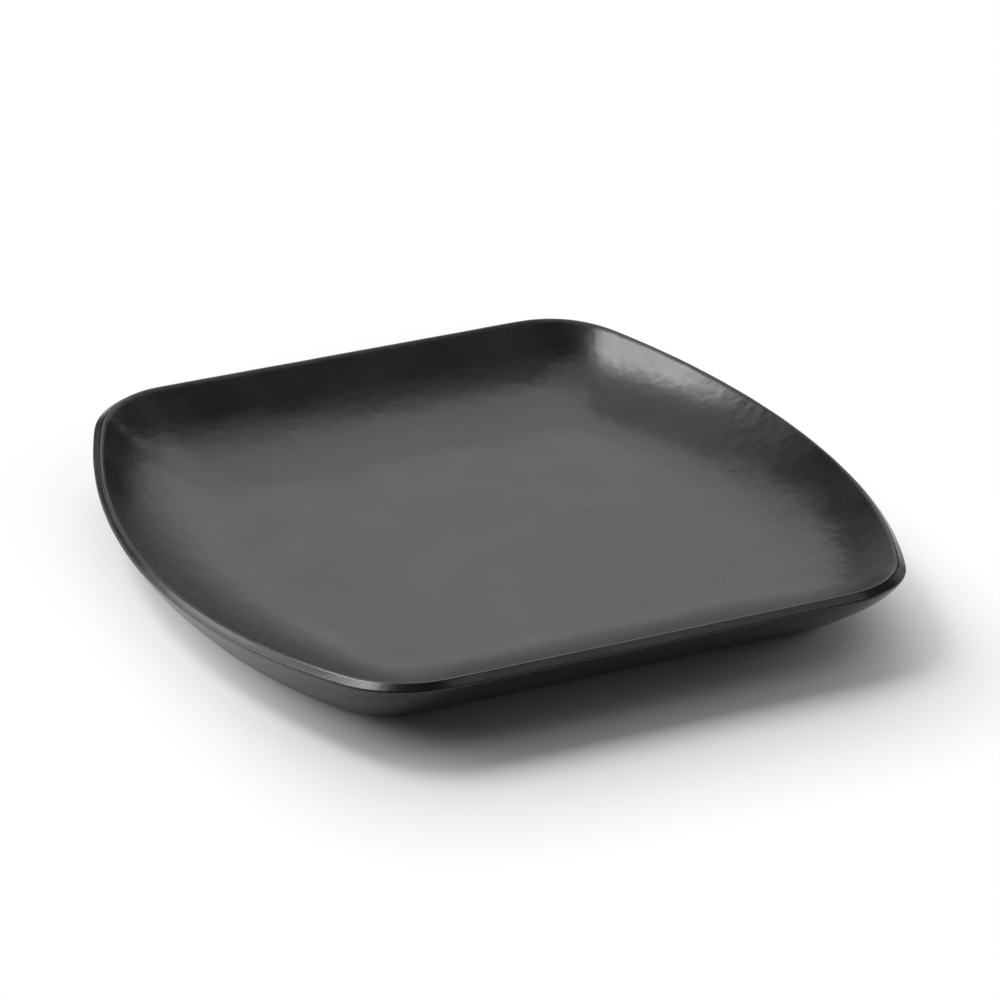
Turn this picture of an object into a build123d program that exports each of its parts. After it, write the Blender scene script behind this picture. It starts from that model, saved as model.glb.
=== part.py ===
"""Square dinner plate of stoneware with a satin black glaze.

Two opposite sides of the plate are straight and level. The other two bow outwards, and their lip
sinks towards the middle of the side. The frame is +Z up, with the origin on the table under the
middle of the foot, +X out of a bowed side and +Y out of a straight side. Sizes are in millimetres.
"""

from build123d import *
import os
from math import cos, radians, sin, sqrt, tan

# Overall size, over the glaze
plate_width = 250.0  # lip to lip across the bowed sides, along X
plate_depth = 250.0  # lip to lip across the straight sides, along Y
rim_height = 28.0  # top of the lip above the table, along the straight sides
rim_dip = 6.1  # how far the lip sinks at the middle of a bowed side

# Lip
lip_width = 2.6  # from its inner edge to its outermost line
lip_nose_radius = 2.0
lip_inner_radius = 0.5  # round of the edge where the lip turns down into the well
lip_bow_radius = 242.0  # plan radius of a bowed side, at the height of the lip
lip_corner_radius = 38.0  # plan radius of a corner, at the height of the lip

# Outer wall, from the lip down to the base
bowed_wall_slope = 58.0  # degrees from level, close under the lip
straight_wall_slope = 47.0
bowed_base_inset = 14.6  # from the outermost line of the lip in to the base
straight_base_inset = 30.5
base_bow_easing = 64.0  # how much smaller the plan radius of a bowed side is at the base
base_corner_radius = 23.5

# Well
floor_thickness = 5.4  # from the underside inside the foot ring up to the flat floor
cove_radius = 76.0  # hollow curve from the floor up into the wall
well_wall_slope = 35.0  # degrees from level, above the cove
well_bow_easing = 43.0  # how much smaller the plan radius of a bowed side is at the top of the well
floor_bow_easing = 72.0  # the same at the edge of the flat floor
floor_corner_radius = 16.0

# Foot ring
foot_height = 1.6
foot_width = 6.0
foot_inset = 3.5  # from the end of the outer wall in to the foot ring
foot_round = 0.5

# Glaze
glaze_thickness = 0.4

# Heights and radii that follow from the sizes above
bowed_rim_height = rim_height - rim_dip
rim_sag_radius = ((plate_depth / 2) ** 2 + rim_dip**2) / (2 * rim_dip)
floor_height = foot_height + floor_thickness
clay_underside = foot_height + glaze_thickness
cutting_room = 4.0  # how far the rough form stands above the lip before it is cut
rough_height = rim_height + cutting_room
base_half_width = plate_width / 2 - bowed_base_inset
base_half_depth = plate_depth / 2 - straight_base_inset
base_bow_radius = lip_bow_radius - base_bow_easing
wall_levels = 4
cove_levels = 6
slope_levels = 3


def blend(low, high, share):
    """The value a share of the way from low to high."""
    return low + (high - low) * share


def level_outline(height, half_width, half_depth, bow_radius, corner_radius):
    """The outline at one height: two straight sides, two bowed sides and four round corners."""
    with BuildSketch(Plane.XY.offset(height)) as outline:
        Rectangle(2 * half_width, 2 * half_depth)
        for side in (-1, 1):
            with Locations((side * (half_width - bow_radius), 0)):
                Circle(bow_radius, mode=Mode.INTERSECT)
        fillet(outline.vertices(), corner_radius)
    return outline.sketch


def base_outline(height, inset):
    """The outline at the end of the outer wall, drawn in by an inset."""
    return level_outline(
        height,
        base_half_width - inset,
        base_half_depth - inset,
        base_bow_radius - inset,
        base_corner_radius - inset,
    )


def sharp_lip(half_size, slope):
    """Half-size of the lip before its nose is rounded, which draws a sharp edge back to half_size."""
    return half_size + lip_nose_radius / tan(radians(slope) / 2) - lip_nose_radius


def wall_half_size(base_half, lip_half, lip_height, slope, height):
    """Half-size of the outer wall at a height: a parabola from the base up to the slope at the lip."""
    rise = lip_height - foot_height
    run = lip_half - base_half
    belly = 1 - rise / (run * tan(radians(slope)))
    share = (height - foot_height) / rise
    return base_half + run * (share + belly * share * (1 - share))


def well_run(rise):
    """How far out from the edge of the flat floor the well has come at a rise above the floor."""
    cove_rise = cove_radius * (1 - cos(radians(well_wall_slope)))
    if rise <= cove_rise:
        return sqrt(2 * cove_radius * rise - rise**2)
    return cove_radius * sin(radians(well_wall_slope)) + (rise - cove_rise) / tan(radians(well_wall_slope))


def add_block(skin):
    """Adds the rough block inside the outer wall, drawn in by a skin and standing above the lip."""
    drawn_in = skin / sin(radians(straight_wall_slope))
    bowed_lip = sharp_lip(plate_width / 2, bowed_wall_slope)
    straight_lip = sharp_lip(plate_depth / 2, straight_wall_slope)
    levels = []
    for step in range(wall_levels):
        share = step / (wall_levels - 1)
        height = blend(foot_height + skin, rough_height, share)
        half_width = wall_half_size(base_half_width, bowed_lip, bowed_rim_height, bowed_wall_slope, height)
        half_depth = wall_half_size(base_half_depth, straight_lip, rim_height, straight_wall_slope, height)
        bow_radius = blend(base_bow_radius, lip_bow_radius, share)
        corner_radius = blend(base_corner_radius, lip_corner_radius, share)
        outline = level_outline(
            height,
            half_width - drawn_in,
            half_depth - drawn_in,
            bow_radius - drawn_in,
            corner_radius - drawn_in,
        )
        levels.append(outline)
    loft(levels)


def cut_well(skin):
    """Cuts the well, lowered by a skin: a flat floor, a cove of one radius and a straight slope."""
    floor_half_width = plate_width / 2 - lip_width - well_run(bowed_rim_height - floor_height)
    floor_half_depth = plate_depth / 2 - lip_width - well_run(rim_height - floor_height)
    cove_slopes = [radians(well_wall_slope) * step / cove_levels for step in range(cove_levels + 1)]
    rises = [cove_radius * (1 - cos(slope)) for slope in cove_slopes]
    cove_rise = rises[-1]
    for step in range(slope_levels):
        rises.append(blend(cove_rise, rough_height - floor_height, (step + 1) / slope_levels))
    levels = []
    for rise in rises:
        share = well_run(rise) / well_run(rises[-1])
        outline = level_outline(
            floor_height - skin + rise,
            floor_half_width + well_run(rise),
            floor_half_depth + well_run(rise),
            lip_bow_radius - blend(floor_bow_easing, well_bow_easing, share),
            blend(floor_corner_radius, lip_corner_radius - lip_width, share),
        )
        levels.append(outline)
    loft(levels, mode=Mode.SUBTRACT)


def cut_lip(skin):
    """Cuts the rough block down to the lip, which sags along the bowed sides in one wide arc."""
    with BuildSketch(Plane.YZ) as above_lip:
        with Locations((0, bowed_rim_height - skin + rim_sag_radius)):
            Circle(rim_sag_radius)
    extrude(above_lip.sketch, amount=plate_width, both=True, mode=Mode.SUBTRACT)


def lip_face(form):
    """The band on top of the lip, cut by the wide arc."""
    return form.faces().filter_by(GeomType.CYLINDER).sort_by(SortBy.AREA)[-1]


os.makedirs("parts", exist_ok=True)

# Fired clay body with its foot ring, which stays bare where the plate stands
with BuildPart() as plate_body:
    add_block(glaze_thickness)
    cut_well(glaze_thickness)
    cut_lip(glaze_thickness)
    fillet(lip_face(plate_body).outer_wire().edges(), lip_nose_radius - glaze_thickness)
    fillet(lip_face(plate_body).inner_wires()[0].edges(), lip_inner_radius)
    extrude(base_outline(0, foot_inset), amount=clay_underside)
    extrude(base_outline(0, foot_inset + foot_width), amount=clay_underside, mode=Mode.SUBTRACT)
    fillet(plate_body.faces().sort_by(Axis.Z)[0].edges(), foot_round)
plate_body.part.label = "plate_body"
export_step(plate_body.part, "parts/plate_body.step")

# Black glaze over the well, the lip and the outer wall, down to the foot ring
with BuildPart() as glaze_coat:
    add_block(0)
    cut_well(0)
    cut_lip(0)
    fillet(lip_face(glaze_coat).outer_wire().edges(), lip_nose_radius)
    fillet(lip_face(glaze_coat).inner_wires()[0].edges(), lip_inner_radius + glaze_thickness)
    extrude(base_outline(0, foot_inset), amount=clay_underside, mode=Mode.SUBTRACT)
    add(plate_body.part, mode=Mode.SUBTRACT)
glaze_coat.part.label = "glaze_coat"
export_step(glaze_coat.part, "parts/glaze_coat.step")

# Black glaze on the underside, inside the foot ring
with BuildPart() as base_glaze:
    extrude(base_outline(foot_height, foot_inset + foot_width), amount=glaze_thickness)
base_glaze.part.label = "base_glaze"
export_step(base_glaze.part, "parts/base_glaze.step")
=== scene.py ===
"""Square stoneware dinner plate in satin black glaze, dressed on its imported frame."""

import math

import bpy
import numpy as np
from mathutils import Matrix, Vector


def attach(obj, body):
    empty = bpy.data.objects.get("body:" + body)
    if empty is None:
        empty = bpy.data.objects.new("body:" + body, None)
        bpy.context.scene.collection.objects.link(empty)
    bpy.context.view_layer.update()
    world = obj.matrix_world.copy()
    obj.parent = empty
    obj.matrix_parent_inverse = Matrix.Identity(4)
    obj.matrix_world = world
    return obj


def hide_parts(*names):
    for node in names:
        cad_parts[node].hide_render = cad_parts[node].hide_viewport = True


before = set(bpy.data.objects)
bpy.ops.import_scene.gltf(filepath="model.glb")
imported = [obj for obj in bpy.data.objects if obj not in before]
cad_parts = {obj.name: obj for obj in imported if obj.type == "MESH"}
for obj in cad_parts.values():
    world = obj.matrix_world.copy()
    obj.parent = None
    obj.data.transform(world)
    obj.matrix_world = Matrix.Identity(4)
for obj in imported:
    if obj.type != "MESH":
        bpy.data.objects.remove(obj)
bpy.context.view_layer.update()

# Clay body. Dark stoneware, pressed over a mould and fired, with a foot ring on its underside.
# The ring is wiped clean of glaze before firing, so that the plate doesn't stick to the kiln
# shelf, and it is the one place where the clay stays bare. Sizes are in millimetres.
mm = 0.001
plate_width = 250.0  # lip to lip across the bowed sides, over the glaze, as are all sizes of the form
plate_depth = 250.0  # lip to lip across the straight sides
rim_height = 28.0  # along the straight sides
rim_dip = 6.1  # how far the rim sinks at the middle of a bowed side
lip_width = 2.6
lip_bow_radius = 242.0
lip_corner_radius = 38.0
lip_rounding = 2.0  # how round the lip is where the wall's own line would end in a sharp edge
crest_rise = 0.4  # how far the crest inside the lip stands above the arc of the rim
crest_round = 0.5
band_pull = 1.0  # how far the band that slopes out from the crest keeps its direction at either end
nose_radius = 0.6
nose_drop = 2.35  # from the crest down to the outermost line
nose_start = 58.0  # degrees above level, where the band runs into the nose
bowed_nose_slope = 66.0  # degrees from level of the wall where it leaves the nose
straight_nose_slope = 52.0
wall_pull = 0.8  # how full the wall is between the nose and the base
bowed_wall_slope = 58.0  # degrees from level of the wall's own line where it meets the rim
straight_wall_slope = 47.0
bowed_base_inset = 14.6  # from the lip in to the end of the wall
straight_base_inset = 30.5
base_bow_radius = 178.0
base_corner_radius = 23.5
base_edge = 1.3  # size of the rounded edge between the wall and the underside
base_edge_pull = 1.6  # how full that edge is
floor_height = 7.0
cove_radius = 76.0  # hollow curve from the floor up into the wall
well_wall_slope = 35.0  # degrees from level, above the cove
well_bow_radius = 199.0  # at the top of the well
floor_bow_radius = 170.0
floor_corner_radius = 16.0
well_corner_opening = 2.0  # power by which the well's corners open out as it climbs
rough_height = 32.0  # height to which the wall and the well are drawn before the lip ends them
glaze_thickness = 0.4
foot_height = 1.6  # bare height of the foot ring
foot_width = 6.0
foot_inset = 3.5
foot_round = 0.5
foot_waver = 0.1  # unevenness of the ring's sides, where it was sponged clean by hand

# Points round each ring of the mesh, and rings in each part of the form
points_round = 416
bow_share = 0.44  # share of a quarter turn that runs over the bowed side
corner_share = 0.24
round_smoothing = 5  # passes that ease a corner into the sides next to it
settling = 8  # passes that settle where the well and the wall meet the sinking rim
floor_rows = 14
well_rows = 30
crest_rows = 3
band_rows = 3
nose_rows = 14
wall_rows = 26
base_edge_rows = 6
foot_round_rows = 5
underside_rows = 4

turn = np.arange(points_round) / points_round
quarter = np.floor(4 * turn).astype(int)
along = np.where(quarter % 2 == 0, 4 * turn - quarter, 1 - (4 * turn - quarter))
side_x = np.where((quarter == 0) | (quarter == 3), 1.0, -1.0)
side_y = np.where(quarter < 2, 1.0, -1.0)
up = np.array([0.0, 0.0, 1.0])


def blend(low, high, share):
    """The value a share of the way from low to high."""
    return low + (high - low) * share


def unit(vectors):
    """Vectors of length 1 in the same directions."""
    return vectors / np.linalg.norm(vectors, axis=-1, keepdims=True)


def outline(half_width, half_depth, bow_radius, corner_radius):
    """Points round a level outline with two bowed sides, two straight sides and four round corners.

    A quarter is an arc of bow_radius about a centre on the X axis, an arc of corner_radius that
    touches it, and a straight line. The other quarters mirror it. Sizes may be one value, one for
    each ring, or one for each point of each ring.
    """
    bow_x = half_width - bow_radius
    corner_y = half_depth - corner_radius
    corner_x = bow_x + np.sqrt((bow_radius - corner_radius) ** 2 - corner_y**2)
    bow_end = np.arctan2(corner_y, corner_x - bow_x)
    on_bow = bow_end * np.clip(along / bow_share, 0, 1)
    on_corner = blend(bow_end, np.pi / 2, np.clip((along - bow_share) / corner_share, 0, 1))
    on_line = np.clip((along - bow_share - corner_share) / (1 - bow_share - corner_share), 0, 1)
    in_bow = along < bow_share
    in_corner = along < bow_share + corner_share
    round_x = np.where(in_corner, corner_x + corner_radius * np.cos(on_corner), corner_x * (1 - on_line))
    round_y = np.where(in_corner, corner_y + corner_radius * np.sin(on_corner), half_depth)
    x = np.where(in_bow, bow_x + bow_radius * np.cos(on_bow), round_x)
    y = np.where(in_bow, bow_radius * np.sin(on_bow), round_y)
    return np.stack([x * side_x, y * side_y], -1)


def rim_level(y):
    """Height of the rim at a place along Y: one wide arc, lowest in the middle and rising to both ends."""
    sag_radius = ((plate_depth / 2) ** 2 + rim_dip**2) / (2 * rim_dip)
    return rim_height - rim_dip + sag_radius - np.sqrt(sag_radius**2 - y**2)


def well_run(rise):
    """How far out from the flat floor's edge the well is at a rise: an arc, then a straight slope."""
    slope = math.radians(well_wall_slope)
    cove_rise = cove_radius * (1 - math.cos(slope))
    in_cove = np.clip(rise, 0, cove_rise)
    above = np.clip(rise - cove_rise, 0, None)
    return np.sqrt(2 * cove_radius * in_cove - in_cove**2) + above / math.tan(slope)


def well_ring(rise):
    """Points round the well at a rise above its floor.

    The lip's inner line is drawn in by the run that is left to climb. The bow's radius grows evenly with
    the run, and the corner's radius with a power of it.
    """
    run = well_run(rise)
    share = run / well_run(rough_height - floor_height)
    half_width = plate_width / 2 - lip_width - well_run(rim_height - rim_dip - floor_height) + run
    half_depth = plate_depth / 2 - lip_width - well_run(rim_height - floor_height) + run
    bow_radius = blend(floor_bow_radius, well_bow_radius, share)
    opened = (run / well_run(rim_height - floor_height)) ** well_corner_opening
    corner_radius = blend(floor_corner_radius, lip_corner_radius - lip_width, opened)
    return outline(half_width, half_depth, bow_radius, corner_radius)


def sharp_edge(slope):
    """How far out a sharp lip of this slope would stand: its round's tangent length less the radius."""
    return lip_rounding / math.tan(math.radians(slope) / 2) - lip_rounding


def wall_half(half_size, base_inset, top, slope, height):
    """Half-size of the outer wall at a height: a parabola from the base to a given slope at the lip."""
    base_half = half_size - base_inset
    rise = top - foot_height
    run = half_size + sharp_edge(slope) - base_half
    belly = 1 - rise / (run * math.tan(math.radians(slope)))
    share = (height - foot_height) / rise
    return base_half + run * (share + belly * share * (1 - share))


def wall_ring(height):
    """Points round the outer wall at a height, its radii growing evenly from the base up to the lip."""
    share = (height - foot_height) / (rough_height - foot_height)
    return outline(
        wall_half(plate_width / 2, bowed_base_inset, rim_height - rim_dip, bowed_wall_slope, height),
        wall_half(plate_depth / 2, straight_base_inset, rim_height, straight_wall_slope, height),
        blend(base_bow_radius, lip_bow_radius, share),
        blend(base_corner_radius, lip_corner_radius, share),
    )


def base_ring(inset):
    """Points round the end of the outer wall, drawn in by an inset."""
    return outline(
        plate_width / 2 - bowed_base_inset - inset,
        plate_depth / 2 - straight_base_inset - inset,
        base_bow_radius - inset,
        base_corner_radius - inset,
    )


def at_height(flat, height):
    """Rings of plan points with their heights added."""
    return np.concatenate([flat, np.broadcast_to(height, flat.shape[:-1])[..., None]], -1)


def outward(ring):
    """Level unit vectors that point away from a ring, square to its line."""
    ahead = np.roll(ring, -1, 0) - np.roll(ring, 1, 0)
    return unit(np.stack([ahead[:, 1], -ahead[:, 0], np.zeros(len(ring))], -1))


def bridge(start, start_pull, end, end_pull, rows):
    """Rings of a cubic curve between two rings, leaving along start_pull and arriving along end_pull."""
    t = np.linspace(0, 1, rows + 2)[1:-1, None, None]
    return (
        (2 * t**3 - 3 * t**2 + 1) * start
        + (t**3 - 2 * t**2 + t) * start_pull
        + (3 * t**2 - 2 * t**3) * end
        + (t**3 - t**2) * end_pull
    )


def smooth_round(rings):
    """Each point eased towards its two neighbours round the ring, a few times over."""
    for _ in range(round_smoothing):
        rings = (np.roll(rings, 1, 1) + 2 * rings + np.roll(rings, -1, 1)) / 4
    return rings


def surface_normals(rings):
    """Unit normals of a sheet of rings, square to the lines along and across them."""
    round_way = np.roll(rings, -1, 1) - np.roll(rings, 1, 1)
    down_way = np.gradient(rings, axis=0)
    return unit(np.cross(down_way, round_way))


def ring_faces(rows, first):
    """Four-sided faces between neighbouring rings of a sheet whose points start at number first."""
    row, column = np.meshgrid(np.arange(rows - 1), np.arange(points_round), indexing="ij")
    after = (column + 1) % points_round
    corners = [
        row * points_round + column,
        (row + 1) * points_round + column,
        (row + 1) * points_round + after,
        row * points_round + after,
    ]
    return first + np.stack(corners, -1).reshape(-1, 4)


def pole_faces(first, pole):
    """Three-sided faces that close the ring starting at number first with the point numbered pole."""
    column = np.arange(points_round)
    after = (column + 1) % points_round
    return np.stack([np.full(points_round, pole), first + column, first + after], -1)


def add_piece(name, points, face_groups, material):
    """A smooth mesh object from points in millimetres and groups of faces, riding on the plate's body."""
    mesh = bpy.data.meshes.new(name)
    mesh.from_pydata(points * mm, [], [face for group in face_groups for face in group.tolist()])
    mesh.polygons.foreach_set("use_smooth", np.ones(len(mesh.polygons), dtype=bool))
    mesh.materials.append(material)
    mesh.update()
    piece = bpy.data.objects.new(name, mesh)
    bpy.context.scene.collection.objects.link(piece)
    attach(piece, "root")
    return piece


# The flat floor and the well, up to the crest where the lip begins
crest_rises = np.full(points_round, rim_height - floor_height)
for _ in range(settling):
    crest_rises = rim_level(well_ring(crest_rises)[:, 1]) + crest_rise - floor_height
floor_shares = np.linspace(0, 1, floor_rows + 2)[1:-1, None, None]
floor_rings = at_height(well_ring(np.zeros((1, 1))) * floor_shares, floor_height)
well_rises = crest_rises * np.linspace(0, 1, well_rows)[:, None] ** 2
well_rings = at_height(well_ring(well_rises), floor_height + well_rises)
crest = well_rings[-1].copy()
well_way = unit(crest - well_rings[-2])
well_rings[-1] = crest - crest_round * well_way

# The lip: a small round on the crest, a band that slopes out from it, and the nose
sharp_height = np.full(points_round, rim_height)
for _ in range(settling):
    sharp_height = rim_level(wall_ring(sharp_height)[:, 1])
sharp_line = at_height(wall_ring(sharp_height), sharp_height)
away = outward(sharp_line)
straight_share = away[:, 1:2] ** 2
drawn_back = blend(sharp_edge(bowed_wall_slope), sharp_edge(straight_wall_slope), straight_share)
lip_line = sharp_line - away * drawn_back
lip_line[:, 2] = crest[:, 2] - nose_drop
nose_slope = np.radians(blend(bowed_nose_slope, straight_nose_slope, straight_share))
nose_shares = np.linspace(0, 1, nose_rows)[:, None, None]
nose_angles = blend(math.radians(nose_start), nose_slope - np.pi / 2, nose_shares)
nose_rings = lip_line + nose_radius * (away * (np.cos(nose_angles) - 1) + up * np.sin(nose_angles))
nose_ways = away * np.sin(nose_angles) - up * np.cos(nose_angles)
band_way = unit(nose_rings[0] - crest)
band_start = crest + crest_round * band_way
crest_rings = bridge(
    well_rings[-1], crest_round * well_way, band_start, crest_round * band_way, crest_rows
)
band_rings = np.concatenate(
    [
        band_start[None],
        bridge(band_start, band_pull * band_way, nose_rings[0], band_pull * nose_ways[0], band_rows),
    ]
)

# The outer wall, its rounded lower edge, and the underside in to the foot ring, whose sides waver in
# two sets of waves, 5 and 13 to a turn
wall_end_height = foot_height + base_edge
wall_end = at_height(wall_ring(np.full(points_round, wall_end_height)), wall_end_height)
wall_foot = at_height(base_ring(0.0), foot_height)
wall_end_way = unit(wall_foot - wall_end)
wall_reach = wall_pull * np.linalg.norm(wall_end - nose_rings[-1], axis=1)[:, None]
wall_rings = np.concatenate(
    [
        bridge(nose_rings[-1], wall_reach * nose_ways[-1], wall_end, wall_reach * wall_end_way, wall_rows),
        wall_end[None],
    ]
)
under_start = at_height(base_ring(base_edge), foot_height)
under_way = -outward(under_start)
base_edge_rings = bridge(
    wall_end, base_edge_pull * wall_end_way, under_start, base_edge_pull * under_way, base_edge_rows
)
waves = np.sin(2 * np.pi * (5 * turn + 0.1)) + 0.7 * np.sin(2 * np.pi * (13 * turn + 0.4))
foot_side = foot_inset + foot_waver * waves
under_rings = np.stack([under_start, at_height(base_ring(foot_side), foot_height)])
form_rings = np.concatenate(
    [
        floor_rings,
        well_rings,
        crest_rings,
        band_rings,
        nose_rings,
        wall_rings,
        base_edge_rings,
        under_rings,
    ]
)
form_rings = smooth_round(form_rings)
form_normals = surface_normals(form_rings)

# The clay is that form drawn in by the glaze, with the foot ring under it. Under the glaze every second
# ring is enough, counted so that the last one, at the foot ring, stays.
first_kept = (len(form_rings) - 1) % 2
covered_rings = (form_rings - glaze_thickness * form_normals)[first_kept::2]
round_turns = np.radians(np.linspace(0, 90, foot_round_rows))
outer_round = 1 - np.cos(round_turns)
inner_round = 1 - np.sin(round_turns)
foot_insets = np.concatenate([foot_round * outer_round, foot_width - foot_round * inner_round])
foot_heights = foot_round * np.concatenate([inner_round, outer_round])
foot_rings = at_height(base_ring(foot_side + foot_insets[:, None]), foot_heights[:, None])
clay_underside = foot_height + glaze_thickness
under_shares = np.linspace(1, 0, underside_rows + 1)[:-1, None, None]
clay_under_rings = at_height(base_ring(foot_side + foot_width) * under_shares, clay_underside)
clay_rings = np.concatenate([covered_rings, smooth_round(np.concatenate([foot_rings, clay_under_rings]))])
clay_count = clay_rings.shape[0] * points_round
clay_poles = np.array([[0.0, 0.0, floor_height - glaze_thickness], [0.0, 0.0, clay_underside]])
clay_points = np.concatenate([clay_rings.reshape(-1, 3), clay_poles])
clay_faces = [
    ring_faces(clay_rings.shape[0], 0),
    pole_faces(0, clay_count),
    pole_faces(clay_count - points_round, clay_count + 1)[:, ::-1],
]

# Bare stoneware, sponged and fired dry: no gloss, a fine tooth, and dark iron specks in brown-black clay
clay_grit = 0.7  # between the grains of the ground clay
clay_grit_height = 0.06
clay_speck = 2.6  # between the larger dark grains


def linear(hex_text):
    """A colour written as sRGB hex, as linear red, green, blue and alpha."""
    parts = [int(hex_text[start : start + 2], 16) / 255 for start in (1, 3, 5)]
    return [part / 12.92 if part <= 0.04045 else ((part + 0.055) / 1.055) ** 2.4 for part in parts] + [1.0]


def pattern_scale(spacing):
    """The scale of a pattern on Object coordinates whose marks are spacing millimetres apart."""
    return 1 / (spacing * mm)


def add_material(name):
    """A new material that has no nodes yet."""
    material = bpy.data.materials.new(name)
    material.use_nodes = True
    material.node_tree.nodes.clear()
    return material


def add_node(material, kind, settings=None, inputs=None, stops=()):
    """Adds a node to a material.

    Settings are its own properties, inputs are values or the sockets that feed it, and stops are the
    places and hex colours of a colour ramp.
    """
    node = material.node_tree.nodes.new(kind)
    for name, value in (settings or {}).items():
        setattr(node, name, value)
    for name, value in (inputs or {}).items():
        if isinstance(value, bpy.types.NodeSocket):
            material.node_tree.links.new(value, node.inputs[name])
        else:
            node.inputs[name].default_value = value
    for number, (place, hex_text) in enumerate(stops):
        node.color_ramp.elements[number].position = place
        node.color_ramp.elements[number].color = linear(hex_text)
    return node


bare_stoneware = add_material("bare_stoneware")
clay_place = add_node(bare_stoneware, "ShaderNodeTexCoord").outputs["Object"]
clay_grains = add_node(
    bare_stoneware,
    "ShaderNodeTexNoise",
    inputs={"Vector": clay_place, "Scale": pattern_scale(clay_grit), "Detail": 4.0, "Roughness": 0.65},
)
clay_specks = add_node(
    bare_stoneware,
    "ShaderNodeTexVoronoi",
    inputs={"Vector": clay_place, "Scale": pattern_scale(clay_speck)},
)
clay_colour = add_node(
    bare_stoneware,
    "ShaderNodeValToRGB",
    inputs={"Fac": clay_grains.outputs["Fac"]},
    stops=[(0.32, "#2b2725"), (0.7, "#4a4441")],
)
clay_darkening = add_node(
    bare_stoneware,
    "ShaderNodeValToRGB",
    inputs={"Fac": clay_specks.outputs["Distance"]},
    stops=[(0.1, "#8c8682"), (0.24, "#ffffff")],
)
clay_speckled = add_node(
    bare_stoneware,
    "ShaderNodeVectorMath",
    settings={"operation": "MULTIPLY"},
    inputs={0: clay_colour.outputs["Color"], 1: clay_darkening.outputs["Color"]},
)
clay_tooth = add_node(
    bare_stoneware,
    "ShaderNodeBump",
    inputs={"Height": clay_grains.outputs["Fac"], "Strength": 0.6, "Distance": clay_grit_height * mm},
)
clay_surface = add_node(
    bare_stoneware,
    "ShaderNodeBsdfPrincipled",
    inputs={
        "Base Color": clay_speckled.outputs["Vector"],
        "Roughness": 0.86,
        "IOR": 1.45,
        "Normal": clay_tooth.outputs["Normal"],
    },
)
add_node(bare_stoneware, "ShaderNodeOutputMaterial", inputs={"Surface": clay_surface.outputs["BSDF"]})
clay_body = add_piece("stoneware_body", clay_points, clay_faces, bare_stoneware)
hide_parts("plate_body")

# Glaze coat. The whole plate is dipped in black glaze, which melts to a smooth skin over the well,
# the lip and the outer wall. It breaks to a crisp line on the crest of the lip, and ends in a rolled
# edge against the foot ring.
glaze_ripple = 0.05  # height of the slow unevenness left by hand work
glaze_roll = 0.4  # from the start of the rolled edge in to the foot ring
roll_middle = 0.12  # from the middle of the rolled edge in to the foot ring
roll_middle_drop = 0.04
glaze_creep = 0.12  # how far the rolled edge creeps down the foot ring
creep_waver = 0.04
creep_turn = 60  # points by which its waves are turned from those of the ring


def ripple(points):
    """Slow unevenness of hand work: the mean of five long waves that cross each other, at each point."""
    wave_lengths = np.array([(61, 17), (-23, 71), (44, -52), (29, 33), (-35, 19)])
    phases = points[..., :2] @ (2 * np.pi / wave_lengths.T) + np.arange(len(wave_lengths))
    return np.sin(phases).mean(-1)


def join_faces(start, end):
    """Four-sided faces from the ring starting at number start to the ring starting at number end."""
    column = np.arange(points_round)
    after = (column + 1) % points_round
    return np.stack([start + column, end + column, end + after, start + after], -1)


edge_creep = glaze_creep + creep_waver * np.roll(waves, creep_turn)
glaze_edge = np.stack(
    [
        at_height(base_ring(foot_side - glaze_roll), foot_height),
        at_height(base_ring(foot_side - roll_middle), foot_height - roll_middle_drop),
        at_height(base_ring(foot_side), foot_height - edge_creep),
    ]
)
glaze_outer = form_rings + glaze_ripple * ripple(form_rings)[..., None] * form_normals
glaze_outer = np.concatenate([glaze_outer[:-1], smooth_round(glaze_edge)])
glaze_outer_count = glaze_outer.shape[0] * points_round
glaze_count = glaze_outer_count + covered_rings.shape[0] * points_round
glaze_poles = np.array([[0.0, 0.0, floor_height], [0.0, 0.0, floor_height - glaze_thickness]])
glaze_poles[0, 2] += glaze_ripple * ripple(glaze_poles[0])
glaze_points = np.concatenate([glaze_outer.reshape(-1, 3), covered_rings.reshape(-1, 3), glaze_poles])
glaze_faces = [
    ring_faces(glaze_outer.shape[0], 0),
    pole_faces(0, glaze_count),
    ring_faces(covered_rings.shape[0], glaze_outer_count)[:, ::-1],
    pole_faces(glaze_outer_count, glaze_count + 1)[:, ::-1],
    join_faces(glaze_outer_count - points_round, glaze_count - points_round),
]

# Satin black glaze, fired to a soft sheen: it spreads reflections, its skin has low swells a few
# millimetres across, and its black is a little uneven where the coat ran thicker or thinner
glaze_mottle = 24.0  # between paler and darker places
glaze_swell = 4.2  # between the low swells of the melted skin
glaze_swell_height = 0.095
satin_black_glaze = add_material("satin_black_glaze")
glaze_place = add_node(satin_black_glaze, "ShaderNodeTexCoord").outputs["Object"]
glaze_clouds = add_node(
    satin_black_glaze,
    "ShaderNodeTexNoise",
    inputs={"Vector": glaze_place, "Scale": pattern_scale(glaze_mottle), "Detail": 2.0, "Roughness": 0.5},
)
glaze_gloss = add_node(
    satin_black_glaze,
    "ShaderNodeMapRange",
    inputs={
        "Value": glaze_clouds.outputs["Fac"],
        "From Min": 0.3,
        "From Max": 0.7,
        "To Min": 0.22,
        "To Max": 0.29,
    },
)
glaze_swells = add_node(
    satin_black_glaze,
    "ShaderNodeTexNoise",
    inputs={"Vector": glaze_place, "Scale": pattern_scale(glaze_swell), "Detail": 1.0},
)
glaze_relief = add_node(
    satin_black_glaze,
    "ShaderNodeBump",
    inputs={"Height": glaze_swells.outputs["Fac"], "Strength": 1.0, "Distance": glaze_swell_height * mm},
)
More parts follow.
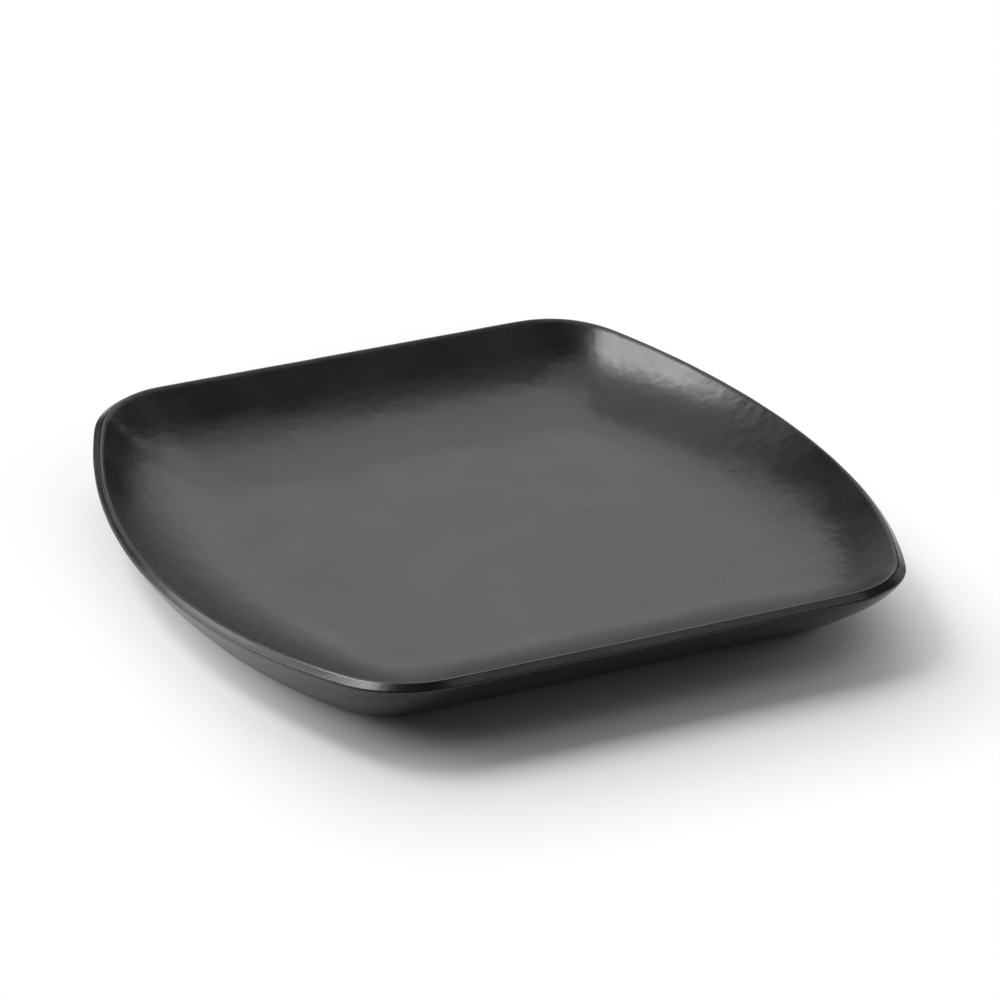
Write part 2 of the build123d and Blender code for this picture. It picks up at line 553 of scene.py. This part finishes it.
glaze_colour = add_node(
    satin_black_glaze,
    "ShaderNodeValToRGB",
    inputs={"Fac": glaze_clouds.outputs["Fac"]},
    stops=[(0.3, "#151515"), (0.72, "#1b1a1a")],
)
glaze_surface = add_node(
    satin_black_glaze,
    "ShaderNodeBsdfPrincipled",
    inputs={
        "Base Color": glaze_colour.outputs["Color"],
        "Roughness": glaze_gloss.outputs["Result"],
        "IOR": 1.5,
        "Normal": glaze_relief.outputs["Normal"],
    },
)
add_node(satin_black_glaze, "ShaderNodeOutputMaterial", inputs={"Surface": glaze_surface.outputs["BSDF"]})
glaze_coat = add_piece("glaze_skin", glaze_points, glaze_faces, satin_black_glaze)
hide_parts("glaze_coat")

# Base glaze. The same black glaze on the underside, inside the foot ring. It was dipped with the rest,
# and creeps a little down the ring where it pools against it.
base_side = foot_side + foot_width
base_pool = 2.0  # how far in from the ring the glaze begins to pool
base_creep = 0.35  # how far it creeps down the ring
base_flat_rows = 12
base_upper_rows = 4
flat_shares = np.linspace(0, 1, base_flat_rows + 2)[1:-1, None, None]
base_flat = at_height(base_ring(base_side + base_pool) * flat_shares, foot_height)
pool_shares = np.array([0.0, 0.25, 0.5, 0.7, 0.85, 0.95, 1.0])[:, None]
base_rim = at_height(
    base_ring(base_side + base_pool * (1 - pool_shares)), foot_height - base_creep * pool_shares**3
)
base_lower = smooth_round(np.concatenate([base_flat, base_rim]))
base_lower[..., 2] += glaze_ripple * ripple(base_lower[..., ::-1])  # waves that run along Y alone
upper_shares = np.linspace(0, 1, base_upper_rows + 1)[1:, None, None]
base_upper = smooth_round(at_height(base_ring(base_side) * upper_shares, clay_underside))
base_lower_count = base_lower.shape[0] * points_round
base_count = base_lower_count + base_upper.shape[0] * points_round
base_poles = np.array([[0.0, 0.0, foot_height], [0.0, 0.0, clay_underside]])
base_points = np.concatenate([base_lower.reshape(-1, 3), base_upper.reshape(-1, 3), base_poles])
base_faces = [
    ring_faces(base_lower.shape[0], 0)[:, ::-1],
    pole_faces(0, base_count)[:, ::-1],
    ring_faces(base_upper.shape[0], base_lower_count),
    pole_faces(base_lower_count, base_count + 1),
    join_faces(base_count - points_round, base_lower_count - points_round),
]
base_glaze = add_piece("base_skin", base_points, base_faces, satin_black_glaze)
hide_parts("base_glaze")

# Table. A pale matt board under the plate, wide enough to fill the view. Away from the plate it glows a
# painted plain white, to the camera and in the glaze's reflections. The painted glow begins sooner beside
# the bowed sides, so that their outer walls reflect a brighter board. Near the plate the lamps alone light
# the board, and it keeps the plate's shadow.
table_half = 4000.0
painted_white_start = 112.0  # from the middle out to the rounded square where the board begins to glow a painted white
painted_white_end = 205.0
painted_white_stretch = 1.35  # how much nearer the bowed sides the painted white glow begins
table_material = add_material("pale_board_with_painted_glow")
table_place = add_node(table_material, "ShaderNodeTexCoord").outputs["Object"]
table_stretched = add_node(
    table_material,
    "ShaderNodeVectorMath",
    settings={"operation": "MULTIPLY"},
    inputs={0: table_place, 1: (painted_white_stretch, 1.0, 1.0)},
).outputs["Vector"]
table_squares = add_node(
    table_material,
    "ShaderNodeVectorMath",
    settings={"operation": "MULTIPLY"},
    inputs={0: table_stretched, 1: table_stretched},
)
table_distance = add_node(
    table_material,
    "ShaderNodeVectorMath",
    settings={"operation": "LENGTH"},
    inputs={0: table_squares.outputs["Vector"]},
)
table_painted_white = add_node(
    table_material,
    "ShaderNodeMapRange",
    settings={"interpolation_type": "SMOOTHSTEP"},
    inputs={
        "Value": table_distance.outputs["Value"],
        "From Min": (painted_white_start * mm) ** 2,
        "From Max": (painted_white_end * mm) ** 2,
    },
)
# The painted white glow shows only to the camera and to reflected and transmitted rays. Light that bounces
# diffusely off the board sees the matt board alone.
table_light = add_node(table_material, "ShaderNodeLightPath")
table_seen = table_light.outputs["Is Camera Ray"]
for way in ("Is Glossy Ray", "Is Transmission Ray"):
    table_seen = add_node(
        table_material,
        "ShaderNodeMath",
        settings={"operation": "MAXIMUM"},
        inputs={0: table_seen, 1: table_light.outputs[way]},
    ).outputs["Value"]
painted_glow_share = add_node(
    table_material,
    "ShaderNodeMath",
    settings={"operation": "MULTIPLY"},
    inputs={0: table_seen, 1: table_painted_white.outputs["Result"]},
)
table_board = add_node(table_material, "ShaderNodeBsdfDiffuse", inputs={"Color": linear("#f6f6f5")})
table_painted_glow = add_node(
    table_material, "ShaderNodeEmission", inputs={"Color": linear("#ffffff"), "Strength": 1.0}
)
table_surface = add_node(
    table_material,
    "ShaderNodeMixShader",
    inputs={
        0: painted_glow_share.outputs["Value"],
        1: table_board.outputs["BSDF"],
        2: table_painted_glow.outputs["Emission"],
    },
)
add_node(table_material, "ShaderNodeOutputMaterial", inputs={"Surface": table_surface.outputs["Shader"]})
table_corners = np.array([(-1, -1, 0), (1, -1, 0), (1, 1, 0), (-1, 1, 0)]) * table_half * mm
table_mesh = bpy.data.meshes.new("table")
table_mesh.from_pydata(table_corners, [], [(0, 1, 2, 3)])
table_mesh.materials.append(table_material)
table = bpy.data.objects.new("table", table_mesh)
bpy.context.scene.collection.objects.link(table)

# Light. Soft flat panels stand round the table about a metre away, and the glaze shows them as its sheen.
# A panel is named for where it stands as the camera sees it. The brightest is high at the left, and the
# world adds next to nothing.
world_strength = 0.02
world = bpy.data.worlds.new("studio")
world.use_nodes = True
world.node_tree.nodes["Background"].inputs["Color"].default_value = linear("#ffffff")
world.node_tree.nodes["Background"].inputs["Strength"].default_value = world_strength
bpy.context.scene.world = world


def add_softbox(name, centre, long_way, length, width, radiance):
    """A flat lamp in metres that faces the plate, its long side along long_way as seen from the plate."""
    facing = Vector(centre).normalized()
    long_side = Vector(long_way)
    long_side = (long_side - facing * long_side.dot(facing)).normalized()
    short_side = facing.cross(long_side)
    lamp = bpy.data.lights.new(name, "AREA")
    lamp.shape = "RECTANGLE"
    lamp.size = length
    lamp.size_y = width
    lamp.energy = radiance * math.pi * length * width
    softbox = bpy.data.objects.new(name, lamp)
    turned = Matrix((long_side, short_side, facing)).transposed().to_4x4()
    softbox.matrix_world = Matrix.Translation(centre) @ turned
    softbox.visible_camera = False
    bpy.context.scene.collection.objects.link(softbox)


def add_panel(name, bearing, height, length, width, radiance):
    """A level soft panel one metre away, at degrees round from +Y towards +X and degrees above level."""
    turned = math.radians(bearing)
    raised = math.radians(height)
    level_way = Vector((math.sin(turned), math.cos(turned), 0))
    centre = level_way * math.cos(raised) + Vector((0, 0, math.sin(raised)))
    add_softbox(name, centre, (math.cos(turned), -math.sin(turned), 0), length, width, radiance)


# The key light, and a leaning strip that shines on the far bowed side
add_softbox("key", (-0.535, 0.58, 1.27), (-0.12, 1, 0), 0.78, 0.36, 11.0)
add_softbox("left_strip", (-0.39, 0.77, 0.44), (-0.19, -0.30, 0.36), 0.50, 0.16, 2.9)

# At the left, for the lip of the near bowed side
add_panel("left", -56, 18, 0.56, 0.44, 4.4)
add_panel("left_high", -60, 42, 0.60, 0.40, 2.2)

# A bank that climbs from behind the plate to over it, and fades to the right. The flat floor shows its
# foot, and the cove of the far straight side shows it darkening upwards.
add_panel("back_card", 19.5, 9, 0.56, 0.28, 0.4)
add_panel("back_low", 26, 28, 0.51, 0.38, 1.25)
add_panel("back_high", 32, 49, 0.36, 0.36, 1.75)
add_panel("back_high_left", 0, 50.5, 0.36, 0.33, 0.95)
add_panel("back_high_right", 50.5, 44, 0.13, 0.54, 1.15)
add_panel("top", 12.5, 68, 0.55, 0.30, 1.2)
add_panel("top_edge", 64, 62, 0.25, 0.22, 0.4)
add_panel("top_right", 102.5, 68, 0.55, 0.30, 0.06)

# At the right, for the corner there and the near lip, and in front, for views from behind
add_panel("right", 108, 20, 0.40, 0.30, 2.5)
add_panel("right_low", 78, 15, 0.62, 0.30, 0.6)
add_panel("right_high", 82, 42, 0.50, 0.50, 0.06)
add_panel("right_near", 130, 56, 0.50, 0.40, 0.9)
add_panel("front_low", 180, 20, 0.80, 0.30, 0.35)

# Camera. A long lens at the photograph's height and turn, aimed a little to one side of the plate's
# middle, as the plate sits a little off the middle of the photograph.
camera_azimuth = -25.35  # degrees round from straight in front, where minus is to the left
camera_elevation = 25.19  # degrees above level
camera_roll = 0.37
camera_distance = 1733.6
camera_lens = 185.1
camera_focus = Vector((0, 0, 25.9)) * mm
aim_right = 3.67
aim_down = 2.7
camera_turn = math.radians(camera_azimuth)
camera_tilt = math.radians(camera_elevation)
camera_back = Vector(
    (
        math.sin(camera_turn) * math.cos(camera_tilt),
        -math.cos(camera_turn) * math.cos(camera_tilt),
        math.sin(camera_tilt),
    )
)
camera_right = Vector((math.cos(camera_turn), math.sin(camera_turn), 0))
camera_up = camera_back.cross(camera_right)
camera_data = bpy.data.cameras.new("camera")
camera_data.lens = camera_lens
camera_data.sensor_width = 36.0
camera_data.sensor_fit = "HORIZONTAL"
camera_data.clip_end = 50.0
camera = bpy.data.objects.new("camera", camera_data)
camera.location = camera_focus + camera_back * camera_distance * mm
camera_aim = camera_focus + (camera_right * aim_right - camera_up * aim_down) * mm
camera_look = (camera_aim - camera.location).to_track_quat("-Z", "Y")
camera_level = Matrix.Rotation(math.radians(camera_roll), 3, "Z").to_quaternion()
camera.rotation_mode = "QUATERNION"
camera.rotation_quaternion = camera_look @ camera_level
bpy.context.scene.collection.objects.link(camera)
bpy.context.scene.camera = camera
bpy.context.scene.view_settings.view_transform = "Standard"
